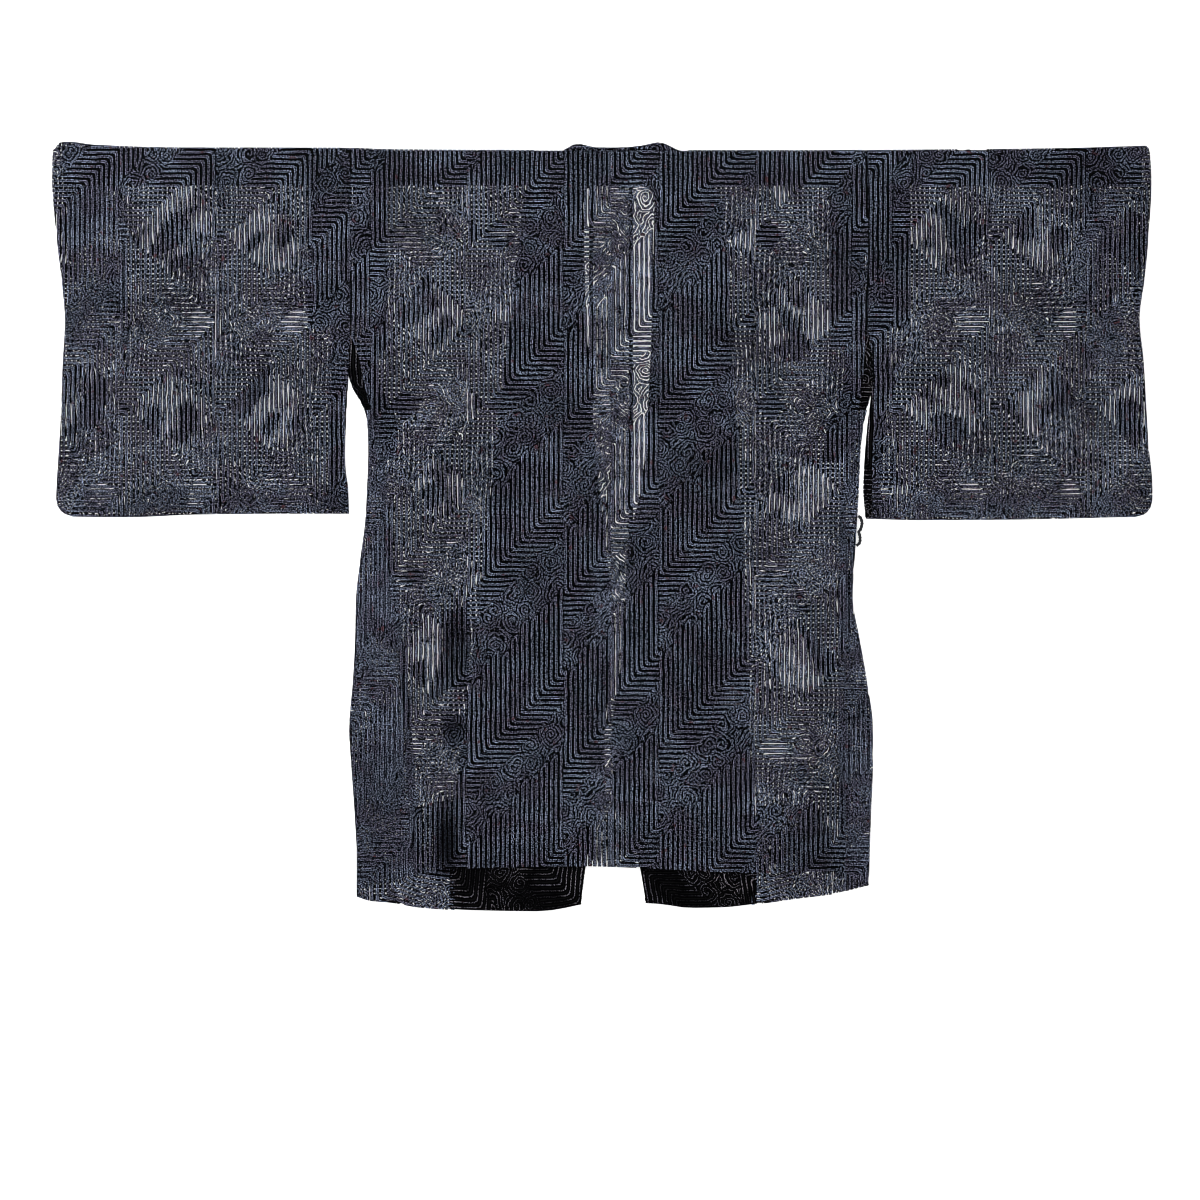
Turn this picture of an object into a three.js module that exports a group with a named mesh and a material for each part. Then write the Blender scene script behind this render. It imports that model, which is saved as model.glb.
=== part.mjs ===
// A sheer summer haori (kimono coat), laid flat on its front with the back uppermost.
// Frame: +X to the wearer's right, +Y towards the neck, +Z up, millimetres.
// The origin is under the middle of the outline, on the surface that the coat lies on.
// "drop" is the distance below the shoulder line, and "out" the distance from X = 0 to either side.
import * as THREE from "three";

// ---- driving sizes ----
const clothWall = 1.2;
const seamGap = 0.3; // between two pieces, and between two plies of one piece
const ply = clothWall + seamGap; // the height that one resting layer takes
const neckRise = 10; // the collar's highest point above the shoulder line
const coatLength = 898; // shoulder line to the lowest point of the front hem
const shoulderY = (coatLength - neckRise) / 2;
const centreSeamX = 10; // the back's middle seam lies a little to the wearer's right
const columnStep = 24;
const rowStep = 52;
const seamAllowance = 6;
const armholeDrop = 212; // shoulder line to the end of the sleeve's seam
const slitDrop = 307; // to the end of the open slit, where the gusset starts
const hemTurn = 80; // hems are turned up on the inside by this much
const cornerRadius = { cuffTop: 8, sleeveBottom: 20 };
const sleeveGrid = { length: 440, span: 345, cuffSewnFrom: 242 }; // nominal sizes that rows and columns are set by
const nearHem = 860; // the drop at which a panel's bottom corners are read
const collarLeg = { from: 64, to: 891, followsHemFrom: 850 }; // the straight part of the collar

// ---- outline tables, one row for each place that the edge changes ----
const topLine = [ // the folded top edge, from cuff to cuff
  { x: -649, drop: -6 }, { x: -630, drop: -8.5 }, { x: -600, drop: -5 }, { x: -500, drop: -1.8 },
  { x: -315, drop: -1.5 }, { x: -239, drop: 0.6 }, { x: -44, drop: 1.4 }, { x: 96, drop: 1.6 },
  { x: 233, drop: 1.4 }, { x: 380, drop: 0.8 }, { x: 539, drop: -0.8 }, { x: 649, drop: -4 },
];
const cuffEdge = [
  { drop: 0, left: 648.4, right: 645 }, { drop: 35, left: 648.9, right: 647 },
  { drop: 106, left: 643.5, right: 643.5 }, { drop: 153, left: 638, right: 639 },
  { drop: 200, left: 634, right: 633 }, { drop: 248, left: 636.5, right: 638 },
  { drop: 342, left: 640.5, right: 643.5 }, { drop: 401, left: 644, right: 648.5 },
  { drop: 433, left: 645, right: 648 },
];
const sleeveInnerBack = [
  { drop: 0, left: 298.15, right: 313.45 }, { drop: 212, left: 298.15, right: 313.45 },
  { drop: 240, left: 299, right: 318 }, { drop: 280, left: 301, right: 320.5 },
  { drop: 319, left: 302.5, right: 320 }, { drop: 354, left: 304, right: 318.5 },
  { drop: 375, left: 303, right: 318 }, { drop: 401, left: 300, right: 318 },
  { drop: 433, left: 299, right: 319 },
];
const sleeveInnerFront = [
  { drop: 0, left: 298.15, right: 313.45 }, { drop: 212, left: 298.15, right: 313.45 },
  { drop: 240, left: 299, right: 316.4 }, { drop: 271, left: 299.8, right: 317 },
  { drop: 290, left: 301, right: 316.5 }, { drop: 319, left: 302.5, right: 313 },
  { drop: 366, left: 304, right: 309 }, { drop: 401, left: 300, right: 307.5 },
  { drop: 433, left: 299, right: 310 },
];
const sleeveBottom = [
  { out: 299, left: 429, right: 434.5 }, { out: 375, left: 429, right: 436.5 },
  { out: 480, left: 430, right: 436 }, { out: 560, left: 433, right: 434.5 },
  { out: 622, left: 432.5, right: 433 }, { out: 649, left: 431, right: 433 },
];
const sideOutline = [ // the coat's side as it lies
  { drop: 0, left: 297.85, right: 313.15 }, { drop: 212, left: 297.85, right: 313.15 },
  { drop: 240, left: 298.6, right: 316 }, { drop: 268, left: 299.2, right: 316.4 },
  { drop: 279, left: 296, right: 316.3 }, { drop: 295, left: 287, right: 315 },
  { drop: 307, left: 281, right: 311.5 }, { drop: 319, left: 278, right: 308.5 },
  { drop: 354, left: 276.5, right: 304 }, { drop: 401, left: 278, right: 302 },
  { drop: 437, left: 280, right: 300 }, { drop: 484, left: 286, right: 297 },
  { drop: 531, left: 291, right: 294.5 }, { drop: 578, left: 292, right: 302.5 },
  { drop: 625, left: 294.5, right: 311 }, { drop: 684, left: 299, right: 318.5 },
  { drop: 720, left: 297, right: 318.5 }, { drop: 791, left: 292, right: 316 },
  { drop: 838, left: 290, right: 314.5 }, { drop: 890, left: 290, right: 313.5 },
];
const backSide = [ // the back panel's edge: sleeve seam, slit, then gusset seam
  { drop: 0, left: 297.85, right: 313.15 }, { drop: 212, left: 297.85, right: 313.15 },
  { drop: 240, left: 289, right: 309 }, { drop: 280, left: 280, right: 306 },
  { drop: 320, left: 271, right: 300 }, { drop: 460, left: 256.5, right: 286 },
  { drop: 672, left: 234, right: 286 }, { drop: 861, left: 221, right: 286 },
];
const gussetUnder = [ // how far the gusset runs on under the coat, past the side
  { drop: 300, left: 0, right: 6 }, { drop: 460, left: 0, right: 15 },
  { drop: 672, left: 0, right: 31 }, { drop: 861, left: 0, right: 42 },
];
const collarSeam = [
  { drop: 1, left: 80, right: 100 }, { drop: 24, left: 84, right: 124 },
  { drop: 60, left: 92, right: 141 }, { drop: 224, left: 111.5, right: 152 },
  { drop: 413, left: 133, right: 163 }, { drop: 578, left: 151.5, right: 170 },
  { drop: 696, left: 166, right: 174 }, { drop: 850, left: 180, right: 182 },
  { drop: 891, left: 180, right: 182 },
];
const frontEdge = [ // the collar's folded edge; below zero it lies past X = 0
  { drop: 42, left: 23, right: 62 }, { drop: 177, left: 20.5, right: 59 },
  { drop: 265, left: 15, right: 56 }, { drop: 383, left: 6, right: 48 },
  { drop: 484, left: -5.5, right: 29 }, { drop: 578, left: -12.5, right: 25.5 },
  { drop: 696, left: -2, right: 11.5 }, { drop: 755, left: -2, right: 13.5 },
  { drop: 802, left: 10, right: 32.5 }, { drop: 844, left: 20.5, right: 44 },
  { drop: 891, left: 26, right: 51.5 },
];
const neckTurn = [ // the collar's way round the neck, with its seam and its fold
  { seamX: -84, seamDrop: 24, foldX: -22, foldDrop: 52 },
  { seamX: -66, seamDrop: 5, foldX: -18, foldDrop: 46 },
  { seamX: -43, seamDrop: 0, foldX: -9, foldDrop: 43 },
  { seamX: -25, seamDrop: -8, foldX: 3, foldDrop: 42.5 },
  { seamX: 20, seamDrop: -4, foldX: 20, foldDrop: 42.5 },
  { seamX: 65, seamDrop: -10, foldX: 38, foldDrop: 42.5 },
  { seamX: 85, seamDrop: -2, foldX: 48, foldDrop: 43.5 },
  { seamX: 104, seamDrop: 5, foldX: 56, foldDrop: 47 },
  { seamX: 124, seamDrop: 24, foldX: 61, foldDrop: 54 },
];
const frontHem = [
  { x: -313, drop: 876 }, { x: -290, drop: 880 }, { x: -274, drop: 885 }, { x: -251, drop: 887 },
  { x: -215, drop: 893 }, { x: -180, drop: 895.5 }, { x: -145, drop: 897 }, { x: -74, drop: 898 },
  { x: -38, drop: 893 }, { x: -24, drop: 890 }, { x: 50, drop: 888.5 }, { x: 68, drop: 889.5 },
  { x: 103, drop: 894 }, { x: 139, drop: 893.5 }, { x: 182, drop: 889 }, { x: 233, drop: 882 },
  { x: 280, drop: 876 }, { x: 313, drop: 868 },
];
const backHem = [
  { x: -225, drop: 856 }, { x: -180, drop: 847 }, { x: -20, drop: 844 }, { x: 44, drop: 846 },
  { x: 107, drop: 849 }, { x: 182, drop: 852 }, { x: 225, drop: 850 }, { x: 290, drop: 852 },
];
const gussetHem = { left: { seam: 858, side: 877 }, right: { seam: 852, side: 868 } };
const collarStrip = { fullWidth: 150, leastFlap: 8, mostFlapShare: 0.84, columns: 3, flapColumns: 2 };
const neckReturn = { toDrop: 5, firstStation: 2, lastStation: 6 }; // from the collar's top back to its seam

// a dark inner band that stays the shoulder line from cuff to cuff
const shoulderStay = { from: 7, to: 42.5, reach: 636, overCollar: [-96, 146], ramp: 24 };

// a small sewn loop at the wearer's right side
const sideLoop = { radius: 2, sides: 8, steps: 18 };
const sideLoopPath = [
  { out: -1.2, drop: 432 }, { out: 1.6, drop: 434 }, { out: 3.8, drop: 440 }, { out: 2.8, drop: 447 },
  { out: 0.8, drop: 451 }, { out: 2.4, drop: 456 }, { out: 2.6, drop: 463 }, { out: -0.9, drop: 467 },
];

// ---- soft folds of the upper layer: a ridge runs from one drop to the other ----
const sleeveFolds = [
  { side: -1, out: 352, lean: -6, from: 60, to: 420, spread: 19, lift: 2.2 },
  { side: -1, out: 424, lean: 8, from: 30, to: 400, spread: 24, lift: 3.2 },
  { side: -1, out: 498, lean: -8, from: 90, to: 425, spread: 21, lift: 2.6 },
  { side: -1, out: 566, lean: 10, from: 40, to: 380, spread: 22, lift: 3.0 },
  { side: -1, out: 618, lean: 4, from: 10, to: 250, spread: 13, lift: 2.4 },
  { side: 1, out: 346, lean: 8, from: 120, to: 425, spread: 17, lift: 2.4 },
  { side: 1, out: 379, lean: 4, from: 40, to: 330, spread: 18, lift: 3.4 },
  { side: 1, out: 452, lean: -4, from: 30, to: 425, spread: 22, lift: 4.2 },
  { side: 1, out: 535, lean: 6, from: 20, to: 400, spread: 20, lift: 4.0 },
  { side: 1, out: 616, lean: 6, from: 30, to: 425, spread: 15, lift: 3.6 },
];
const backFolds = [
  { x: -243, lean: -14, from: 120, to: 600, spread: 18, lift: 2.0 },
  { x: -219, lean: 4, from: 560, to: 850, spread: 15, lift: 3.4 },
  { x: -150, lean: 10, from: 600, to: 850, spread: 19, lift: 4.0 },
  { x: -104, lean: -30, from: 60, to: 520, spread: 22, lift: 2.4 },
  { x: -50, lean: 8, from: 320, to: 850, spread: 20, lift: 2.2 },
  { x: 62, lean: 10, from: 180, to: 700, spread: 22, lift: 2.2 },
  { x: 118, lean: 14, from: 420, to: 850, spread: 20, lift: 2.8 },
  { x: 146, lean: 12, from: 60, to: 420, spread: 19, lift: 2.6 },
  { x: 196, lean: -6, from: 480, to: 830, spread: 17, lift: 3.2 },
  { x: 238, lean: 10, from: 50, to: 850, spread: 16, lift: 3.0 },
];

// ---- small helpers ----
const mix = (a, b, t) => a + (b - a) * t;
const smooth = (from, to, t) => THREE.MathUtils.smoothstep(t, from, to);

/** Reads a column of a table at a value of its key column, along a curve without overshoot. */
function read(table, key, column, at) {
  const last = table.length - 1;
  if (at <= table[0][key]) return table[0][column];
  if (at >= table[last][key]) return table[last][column];
  let k = 0;
  while (table[k + 1][key] < at) k += 1;
  const slope = (a) => (table[a + 1][column] - table[a][column]) / (table[a + 1][key] - table[a][key]);
  const tangent = (a) => {
    if (a === 0 || a === last) return slope(Math.min(a, last - 1));
    const before = slope(a - 1), after = slope(a);
    return before * after <= 0 ? 0 : (2 * before * after) / (before + after);
  };
  const h = table[k + 1][key] - table[k][key];
  const t = (at - table[k][key]) / h;
  return (2 * t ** 3 - 3 * t ** 2 + 1) * table[k][column] + (t ** 3 - 2 * t ** 2 + t) * h * tangent(k)
    + (3 * t ** 2 - 2 * t ** 3) * table[k + 1][column] + (t ** 3 - t ** 2) * h * tangent(k + 1);
}

/** Even steps from a to b, no longer than step, with extra stops between them. */
function stops(a, b, step, extra = []) {
  const ends = [a, ...extra.filter((e) => e > a && e < b), b].sort((p, q) => p - q);
  const list = [a];
  for (let k = 1; k < ends.length; k += 1) {
    const count = Math.max(1, Math.round((ends[k] - ends[k - 1]) / step));
    for (let n = 1; n <= count; n += 1) list.push(mix(ends[k - 1], ends[k], n / count));
  }
  return list;
}

/** Shares down a grid that put its rows at the given drops, where its top and bottom are these. */
const sharesAt = (drops, top, bottom) => [
  0, ...drops.filter((d) => d > top + 4 && d < bottom - 4).map((d) => (d - top) / (bottom - top)), 1,
];

/** Height of the soft ridges at a point. */
function ridges(table, x, drop) {
  let height = 0;
  for (const fold of table) {
    const middle = fold.x + fold.lean * (drop - fold.from) / (fold.to - fold.from);
    const along = smooth(fold.from, fold.from + 90, drop) * (1 - smooth(fold.to - 70, fold.to, drop));
    height += fold.lift * along * Math.exp(-(((x - middle) / fold.spread) ** 2));
  }
  return height;
}

/**
 * A grid of points, rows from the neck down and columns from the left.
 * across and down run from 0 to 1. Each point holds its underside.
 */
function clothGrid({ down, across, left, right, top, bottom, under }) {
  return down.map((v) => across.map((u) => {
    let drop = mix(top(left(0)), bottom(left(0)), v);
    let x = mix(left(drop), right(drop), u);
    for (let pass = 0; pass < 3; pass += 1) {
      drop = mix(top(x), bottom(x), v);
      x = mix(left(drop), right(drop), u);
    }
    return { x, y: shoulderY - drop, z: under(x, drop) };
  }));
}

/** The columns or rows of one side of a grid, counter-clockwise as seen from above. */
function side(grid, name, from = 0, to = Infinity) {
  const rows = grid.length - 1;
  const columns = grid[0].length - 1;
  const run = (length, make) => {
    const list = [];
    for (let k = from; k <= Math.min(to, length); k += 1) list.push(make(k));
    return list;
  };
  if (name === "left") return run(rows, (k) => [k, 0]);
  if (name === "bottom") return run(columns, (k) => [rows, k]);
  if (name === "right") return run(rows, (k) => [k, columns]).reverse();
  return run(columns, (k) => [0, k]).reverse();
}

/**
 * One closed solid from several plies of cloth. Each fold joins a run of edge points of a lower
 * ply to the same run of an upper ply: the outer walls meet, and the inner walls keep clothWall.
 */
function clothSolid(plies, folds = []) {
  const positions = [];
  const triangles = [];
  const vertex = (x, y, z) => positions.push(x, y, z) / 3 - 1;
  const quad = (a, b, c, d) => triangles.push(a, b, c, a, c, d);
  const loops = plies.map((grid) => [
    ...side(grid, "left").slice(0, -1), ...side(grid, "bottom").slice(0, -1),
    ...side(grid, "right").slice(0, -1), ...side(grid, "top").slice(0, -1),
  ]);
  const inset = plies.map(() => ({ under: new Map(), over: new Map() }));
  const key = ([j, i]) => `${j},${i}`;
  for (const fold of folds) {
    for (const [which, face] of [["lower", "over"], ["upper", "under"]]) {
      const grid = plies[fold[which]];
      const run = fold[`${which}Run`];
      run.forEach((here, n) => {
        const [aj, ai] = run[Math.max(n - 1, 0)];
        const [bj, bi] = run[Math.min(n + 1, run.length - 1)];
        const a = grid[aj][ai], b = grid[bj][bi];
        const length = Math.hypot(b.x - a.x, b.y - a.y);
        const shift = { x: -(b.y - a.y) / length * clothWall, y: (b.x - a.x) / length * clothWall };
        inset[fold[which]][face].set(key(here), shift);
      });
    }
  }
  const faces = plies.map((grid, g) => {
    const make = (face, rise) => grid.map((row, j) => row.map((p, i) => {
      const shift = inset[g][face].get(key([j, i])) ?? { x: 0, y: 0 };
      return vertex(p.x + shift.x, p.y + shift.y, p.z + rise);
    }));
    return { under: make("under", 0), over: make("over", clothWall) };
  });
  const joined = plies.map(() => new Set());
  for (const fold of folds) {
    for (const which of ["lower", "upper"]) {
      const run = fold[`${which}Run`];
      for (let n = 1; n < run.length; n += 1) joined[fold[which]].add(`${key(run[n - 1])}>${key(run[n])}`);
    }
  }
  plies.forEach((grid, g) => {
    const { under, over } = faces[g];
    for (let j = 1; j < grid.length; j += 1) {
      for (let i = 1; i < grid[0].length; i += 1) {
        quad(over[j - 1][i - 1], over[j][i - 1], over[j][i], over[j - 1][i]);
        quad(under[j - 1][i], under[j][i], under[j][i - 1], under[j - 1][i - 1]);
      }
    }
    loops[g].forEach((a, n) => {
      const b = loops[g][(n + 1) % loops[g].length];
      if (joined[g].has(`${key(a)}>${key(b)}`)) return;
      quad(under[a[0]][a[1]], under[b[0]][b[1]], over[b[0]][b[1]], over[a[0]][a[1]]);
    });
  });
  for (const fold of folds) {
    const low = fold.lowerRun.map(([j, i]) => ({
      under: faces[fold.lower].under[j][i], over: faces[fold.lower].over[j][i],
    }));
    const high = fold.upperRun.map(([j, i]) => ({
      under: faces[fold.upper].under[j][i], over: faces[fold.upper].over[j][i],
    }));
    for (let n = 1; n < low.length; n += 1) {
      quad(low[n - 1].under, low[n].under, high[n].over, high[n - 1].over);
      quad(low[n].over, low[n - 1].over, high[n - 1].under, high[n].under);
    }
    const end = low.length - 1;
    quad(low[0].over, low[0].under, high[0].over, high[0].under);
    quad(low[end].under, low[end].over, high[end].under, high[end].over);
  }
  const geometry = new THREE.BufferGeometry();
  geometry.setAttribute("position", new THREE.Float32BufferAttribute(positions, 3));
  geometry.setIndex(triangles);
  geometry.computeVertexNormals();
  return geometry;
}

/** Builds left-hand plies and, for the right side, mirrors them across X = 0. */
function mirrored(geometry) {
  geometry.scale(-1, 1, 1);
  const index = geometry.getIndex();
  for (let k = 0; k < index.count; k += 3) {
    const b = index.getX(k + 1);
    index.setX(k + 1, index.getX(k + 2));
    index.setX(k + 2, b);
  }
  geometry.computeVertexNormals();
  return geometry;
}

const hands = [
  { name: "left", sign: -1 },
  { name: "right", sign: 1 },
];
const finished = (geometry, hand) => (hand.sign > 0 ? mirrored(geometry) : geometry);
/** For a hand, the tables are read in left-hand form: local x is minus the distance out. */
const outward = (table, hand) => (drop) => -read(table, "drop", hand.name, drop);
const dropAt = (table, hand) => (x) => read(table, "x", "drop", x * -hand.sign);

const bodyRows = stops(0, 850, rowStep, [6, 60, armholeDrop, 240, 268, 280, slitDrop, 325]);

// ---- heights of the upper layer ----
const overStay = (drop) => ply * (1 - smooth(shoulderStay.to + 6, shoulderStay.to + 60, drop));

function sleeveUnder(hand) {
  const table = sleeveFolds.filter((fold) => fold.side === hand.sign)
    .map((fold) => ({ ...fold, x: -fold.out, lean: -fold.lean }));
  return (x, drop) => ply + overStay(drop) + ridges(table, x, drop);
}

/** Underside of the back, in the coat's own X. */
function backUnder(hand) {
  return (localX, drop) => {
    const x = localX * -hand.sign;
    const out = -localX;
    const seam = read(collarSeam, "drop", hand.name, drop);
    const collarLift = 1 - smooth(seam + 40, seam + 80, out);
    const gussetSeam = read(backSide, "drop", hand.name, drop);
    const besideSeam = smooth(gussetSeam - 74, gussetSeam - 28, out);
    const gussetLift = besideSeam * smooth(slitDrop - 70, slitDrop - 20, drop);
    const hemLift = smooth(coatLength - 220, coatLength - 150, drop);
    const layers = collarLift + gussetLift * (1 - hemLift) + 2 * hemLift;
    return ply + ply * layers + overStay(drop) + ridges(backFolds, x, drop);
  };
}

// ---- the pieces ----
/** A sleeve: one width of cloth folded at the top, seamed below and part of the way up the cuff. */
function sleeve(hand) {
  const cuff = outward(cuffEdge, hand);
  const rounded = (drop, bottom) => {
    const fromBottom = cornerRadius.sleeveBottom - (bottom - drop);
    const fromTop = cornerRadius.cuffTop - (drop + 5);
    const cut = (radius, depth) => (depth > 0 ? radius - Math.sqrt(Math.max(radius ** 2 - depth ** 2, 0)) : 0);
    return cut(cornerRadius.sleeveBottom, fromBottom) + cut(cornerRadius.cuffTop, fromTop);
  };
  const bottom = (x) => read(sleeveBottom, "out", hand.name, -x);
  const { length, span, cuffSewnFrom } = sleeveGrid;
  const down = stops(0, length, rowStep, [5, 14, 214, 243, 284, 420, 428, 434, 437]).map((d) => d / length);
  const left = (drop) => cuff(drop) + rounded(drop, bottom(-640));
  const across = stops(0, span, columnStep).map((d) => d / span);
  const common = { down, across, left, top: dropAt(topLine, hand), bottom };
  const frontPly = clothGrid({ ...common, right: outward(sleeveInnerFront, hand), under: () => 0 });
  const backPly = clothGrid({ ...common, right: outward(sleeveInnerBack, hand), under: sleeveUnder(hand) });
  const cuffRow = down.findIndex((v) => v * length >= cuffSewnFrom);
  const sewn = (grid) => [...side(grid, "left", cuffRow), ...side(grid, "bottom").slice(1)];
  const solid = clothSolid([frontPly, backPly], [
    { lower: 0, upper: 1, lowerRun: side(frontPly, "top"), upperRun: side(backPly, "top") },
    { lower: 0, upper: 1, lowerRun: sewn(frontPly), upperRun: sewn(backPly) },
  ]);
  return finished(solid, hand);
}

/** A body panel: front and back in one length, folded over the shoulder, with both hems turned up. */
function bodyPanel(hand) {
  const inner = centreSeamX * -hand.sign - seamGap / 2;
  const neck = outward(collarSeam, hand);
  const outer = outward(sideOutline, hand);
  const underCollar = (drop) => neck(drop) + seamAllowance * smooth(2, 24, drop);
  const gussetLower = (drop) => read(gussetUnder, "drop", hand.name, drop) * smooth(280, slitDrop, drop);
  const frontOuter = (drop) => outer(drop) + gussetLower(drop) + (gussetLower(drop) > 0 ? seamGap : 0);
  const backOuter = outward(backSide, hand);
  const frontWidth = neck(0) - outer(0);
  const backWidth = inner - outer(0);
  const frontAcross = stops(0, frontWidth, columnStep).map((d) => d / frontWidth);
  const backAcross = [
    ...frontAcross.map((u) => u * frontWidth / backWidth),
    ...stops(frontWidth, backWidth, columnStep).slice(1).map((d) => d / backWidth),
  ];
  const topAt = dropAt(topLine, hand);
  const frontHemAt = dropAt(frontHem, hand);
  const backHemAt = dropAt(backHem, hand);
  const front = clothGrid({
    down: sharesAt(bodyRows, topAt(outer(0)), frontHemAt(frontOuter(nearHem))),
    across: frontAcross, left: frontOuter, right: underCollar,
    top: topAt, bottom: frontHemAt, under: () => 0,
  });
  const back = clothGrid({
    down: sharesAt(bodyRows, topAt(outer(0)), backHemAt(backOuter(nearHem))),
    across: backAcross, left: backOuter, right: () => inner,
    top: topAt, bottom: backHemAt, under: backUnder(hand),
  });
  const turnRows = [0, 0.5, 1];
  const hemColumns = frontAcross.length - 1; // the last column runs on under the collar
  const lastRow = front.length - 1;
  const frontTurn = turnRows.map((v) => front[lastRow].slice(0, hemColumns).map((p) => ({
    x: p.x, y: p.y + hemTurn * (1 - v), z: ply,
  })));
  const besideGusset = (p) => {
    const drop = shoulderY - p.y;
    const reach = hand.sign > 0 ? backOuter(drop) + seamAllowance + 4 : -Infinity;
    return { ...p, x: Math.max(p.x, reach) };
  };
  const backLow = back.length - 1;
  const under = backUnder(hand);
  const backTurn = turnRows.map((v) => back[backLow].map((p) => {
    const y = p.y + hemTurn * (1 - v);
    return { x: p.x, y, z: under(p.x, shoulderY - y) - ply };
  }));
  const folded = frontAcross.length - 1;
  const backTurnFrom = 1; // the first column lies on the gusset's allowance
  const solid = clothSolid([
    front, back, frontTurn.map((row) => row.map(besideGusset)), backTurn.map((row) => row.slice(backTurnFrom)),
  ], [
    { lower: 0, upper: 1, lowerRun: side(front, "top"), upperRun: side(back, "top", 0, folded) },
    {
      lower: 0, upper: 2,
      lowerRun: side(front, "bottom", 0, hemColumns - 1), upperRun: side(frontTurn, "bottom"),
    },
    {
      lower: 3, upper: 1,
      lowerRun: side(backTurn, "bottom", 0, back[0].length - 1 - backTurnFrom),
      upperRun: side(back, "bottom", backTurnFrom),
    },
  ]);
  return finished(solid, hand);
}

/** A gusset: the long wedge between front and back, from the slit down to the hem. */
function gusset(hand) {
  const outer = outward(sideOutline, hand);
  const seam = outward(backSide, hand);
  const hem = gussetHem[hand.name];
  const rounds = hand.sign > 0; // on this side the gusset turns round the edge of the coat
  const hemLift = (drop) => (rounds ? 0 : ply * smooth(740, 785, drop));
  const bottom = (x) => {
    const u = (x - outer(nearHem)) / (seam(nearHem) - outer(nearHem));
    return mix(hem.side, hem.seam, THREE.MathUtils.clamp(u, 0, 1.2)) - (rounds ? 0 : 4);
  };
  const rowsTo = (hemAt, edge) => sharesAt(bodyRows, slitDrop, hemAt(edge(nearHem)));
  const underEdge = (drop) => outer(drop) + read(gussetUnder, "drop", hand.name, drop);
  const upper = clothGrid({
    down: rowsTo(bottom, outer), across: [0, 0.35, 0.7, 1],
    left: (drop) => outer(drop) + (rounds ? 0 : 0.5), right: (drop) => seam(drop) + seamAllowance + 2,
    top: () => slitDrop, bottom, under: (x, drop) => ply + hemLift(drop),
  });
  if (!rounds) return finished(clothSolid([upper]), hand);
  const lower = clothGrid({
    down: rowsTo(dropAt(frontHem, hand), underEdge), across: [0, 0.5, 1], left: outer, right: underEdge,
    top: () => slitDrop, bottom: dropAt(frontHem, hand), under: () => 0,
  });
  const solid = clothSolid([lower, upper], [
    { lower: 0, upper: 1, lowerRun: side(lower, "left"), upperRun: side(upper, "left") },
  ]);
  return finished(solid, hand);
}

/** The collar: one strip from hem to hem round the neck, folded lengthwise, opening out downwards. */
function collar() {
  const legDrops = stops(collarLeg.from, collarLeg.to, rowStep);
  const legRow = (hand) => (drop) => ({
    seam: { x: read(collarSeam, "drop", hand.name, drop) * hand.sign, drop },
    fold: { x: read(frontEdge, "drop", hand.name, drop) * hand.sign, drop },
  });
  const stations = [
    ...legDrops.map(legRow(hands[0])).reverse(),
    ...neckTurn.map((row) => ({
      seam: { x: row.seamX, drop: row.seamDrop }, fold: { x: row.foldX, drop: row.foldDrop },
    })),
    ...legDrops.map(legRow(hands[1])),
  ];
  for (const station of stations) {
    for (const point of [station.seam, station.fold]) {
      const atHem = smooth(collarLeg.followsHemFrom, collarLeg.to, point.drop);
      point.drop += (read(frontHem, "x", "drop", point.x) - collarLeg.to) * atHem;
    }
  }
  const width = ({ seam, fold }) => Math.hypot(seam.x - fold.x, seam.drop - fold.drop);
  const flapShare = (station) => {
    const whole = width(station);
    const flap = THREE.MathUtils.clamp(collarStrip.fullWidth - whole, collarStrip.leastFlap, whole);
    return Math.min(flap / whole, collarStrip.mostFlapShare);
  };
  const between = (station, share, z) => ({
    x: mix(station.fold.x, station.seam.x, share),
    y: shoulderY - mix(station.fold.drop, station.seam.drop, share), z,
  });
  const shares = (count) => Array.from({ length: count + 1 }, (_, k) => k / count);
  // rows run from the seam to the fold, columns along the strip from the left hem to the right one
  const base = shares(collarStrip.columns).reverse()
    .map((share) => stations.map((station) => between(station, share, ply)));
  const flap = shares(collarStrip.flapColumns).reverse()
    .map((share) => stations.map((station) => between(station, share * flapShare(station), 0)));
  const first = legDrops.length + neckReturn.firstStation;
  const last = legDrops.length + neckReturn.lastStation;
  const turned = [0, 0.5, 1].map((t) => stations.slice(first, last + 1).map(({ seam }) => ({
    x: seam.x, y: shoulderY - mix(seam.drop, neckReturn.toDrop, t), z: 2 * ply,
  })));
  return clothSolid([flap, base, turned], [
    { lower: 0, upper: 1, lowerRun: side(flap, "bottom"), upperRun: side(base, "bottom") },
    { lower: 1, upper: 2, lowerRun: side(base, "top", first, last), upperRun: side(turned, "top") },
  ]);
}

function stay() {
  const { from, to, reach, overCollar, ramp } = shoulderStay;
  const [start, end] = overCollar;
  const xs = stops(-reach, reach, 2 * columnStep, [start - ramp, start, end, end + ramp]);
  const level = (x) => 1 + smooth(start - ramp, start, x) * (1 - smooth(end, end + ramp, x));
  const grid = [from, to].map((drop) => xs.map((x) => ({ x, y: shoulderY - drop, z: ply * level(x) })));
  return clothSolid([grid]);
}

function loop() {
  const { radius, sides, steps } = sideLoop;
  const points = sideLoopPath.map(({ out, drop }) => new THREE.Vector3(
    read(sideOutline, "drop", "right", drop) + out + radius + seamGap, shoulderY - drop, radius + seamGap,
  ));
  const section = new THREE.Shape();
  for (let k = 0; k < sides; k += 1) {
    const angle = (2 * Math.PI * k) / sides;
    const [x, y] = [radius * Math.cos(angle), radius * Math.sin(angle)];
    if (k === 0) section.moveTo(x, y);
    else section.lineTo(x, y);
  }
  section.closePath();
  return new THREE.ExtrudeGeometry(section, { steps, extrudePath: new THREE.CatmullRomCurve3(points) });
}

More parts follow.
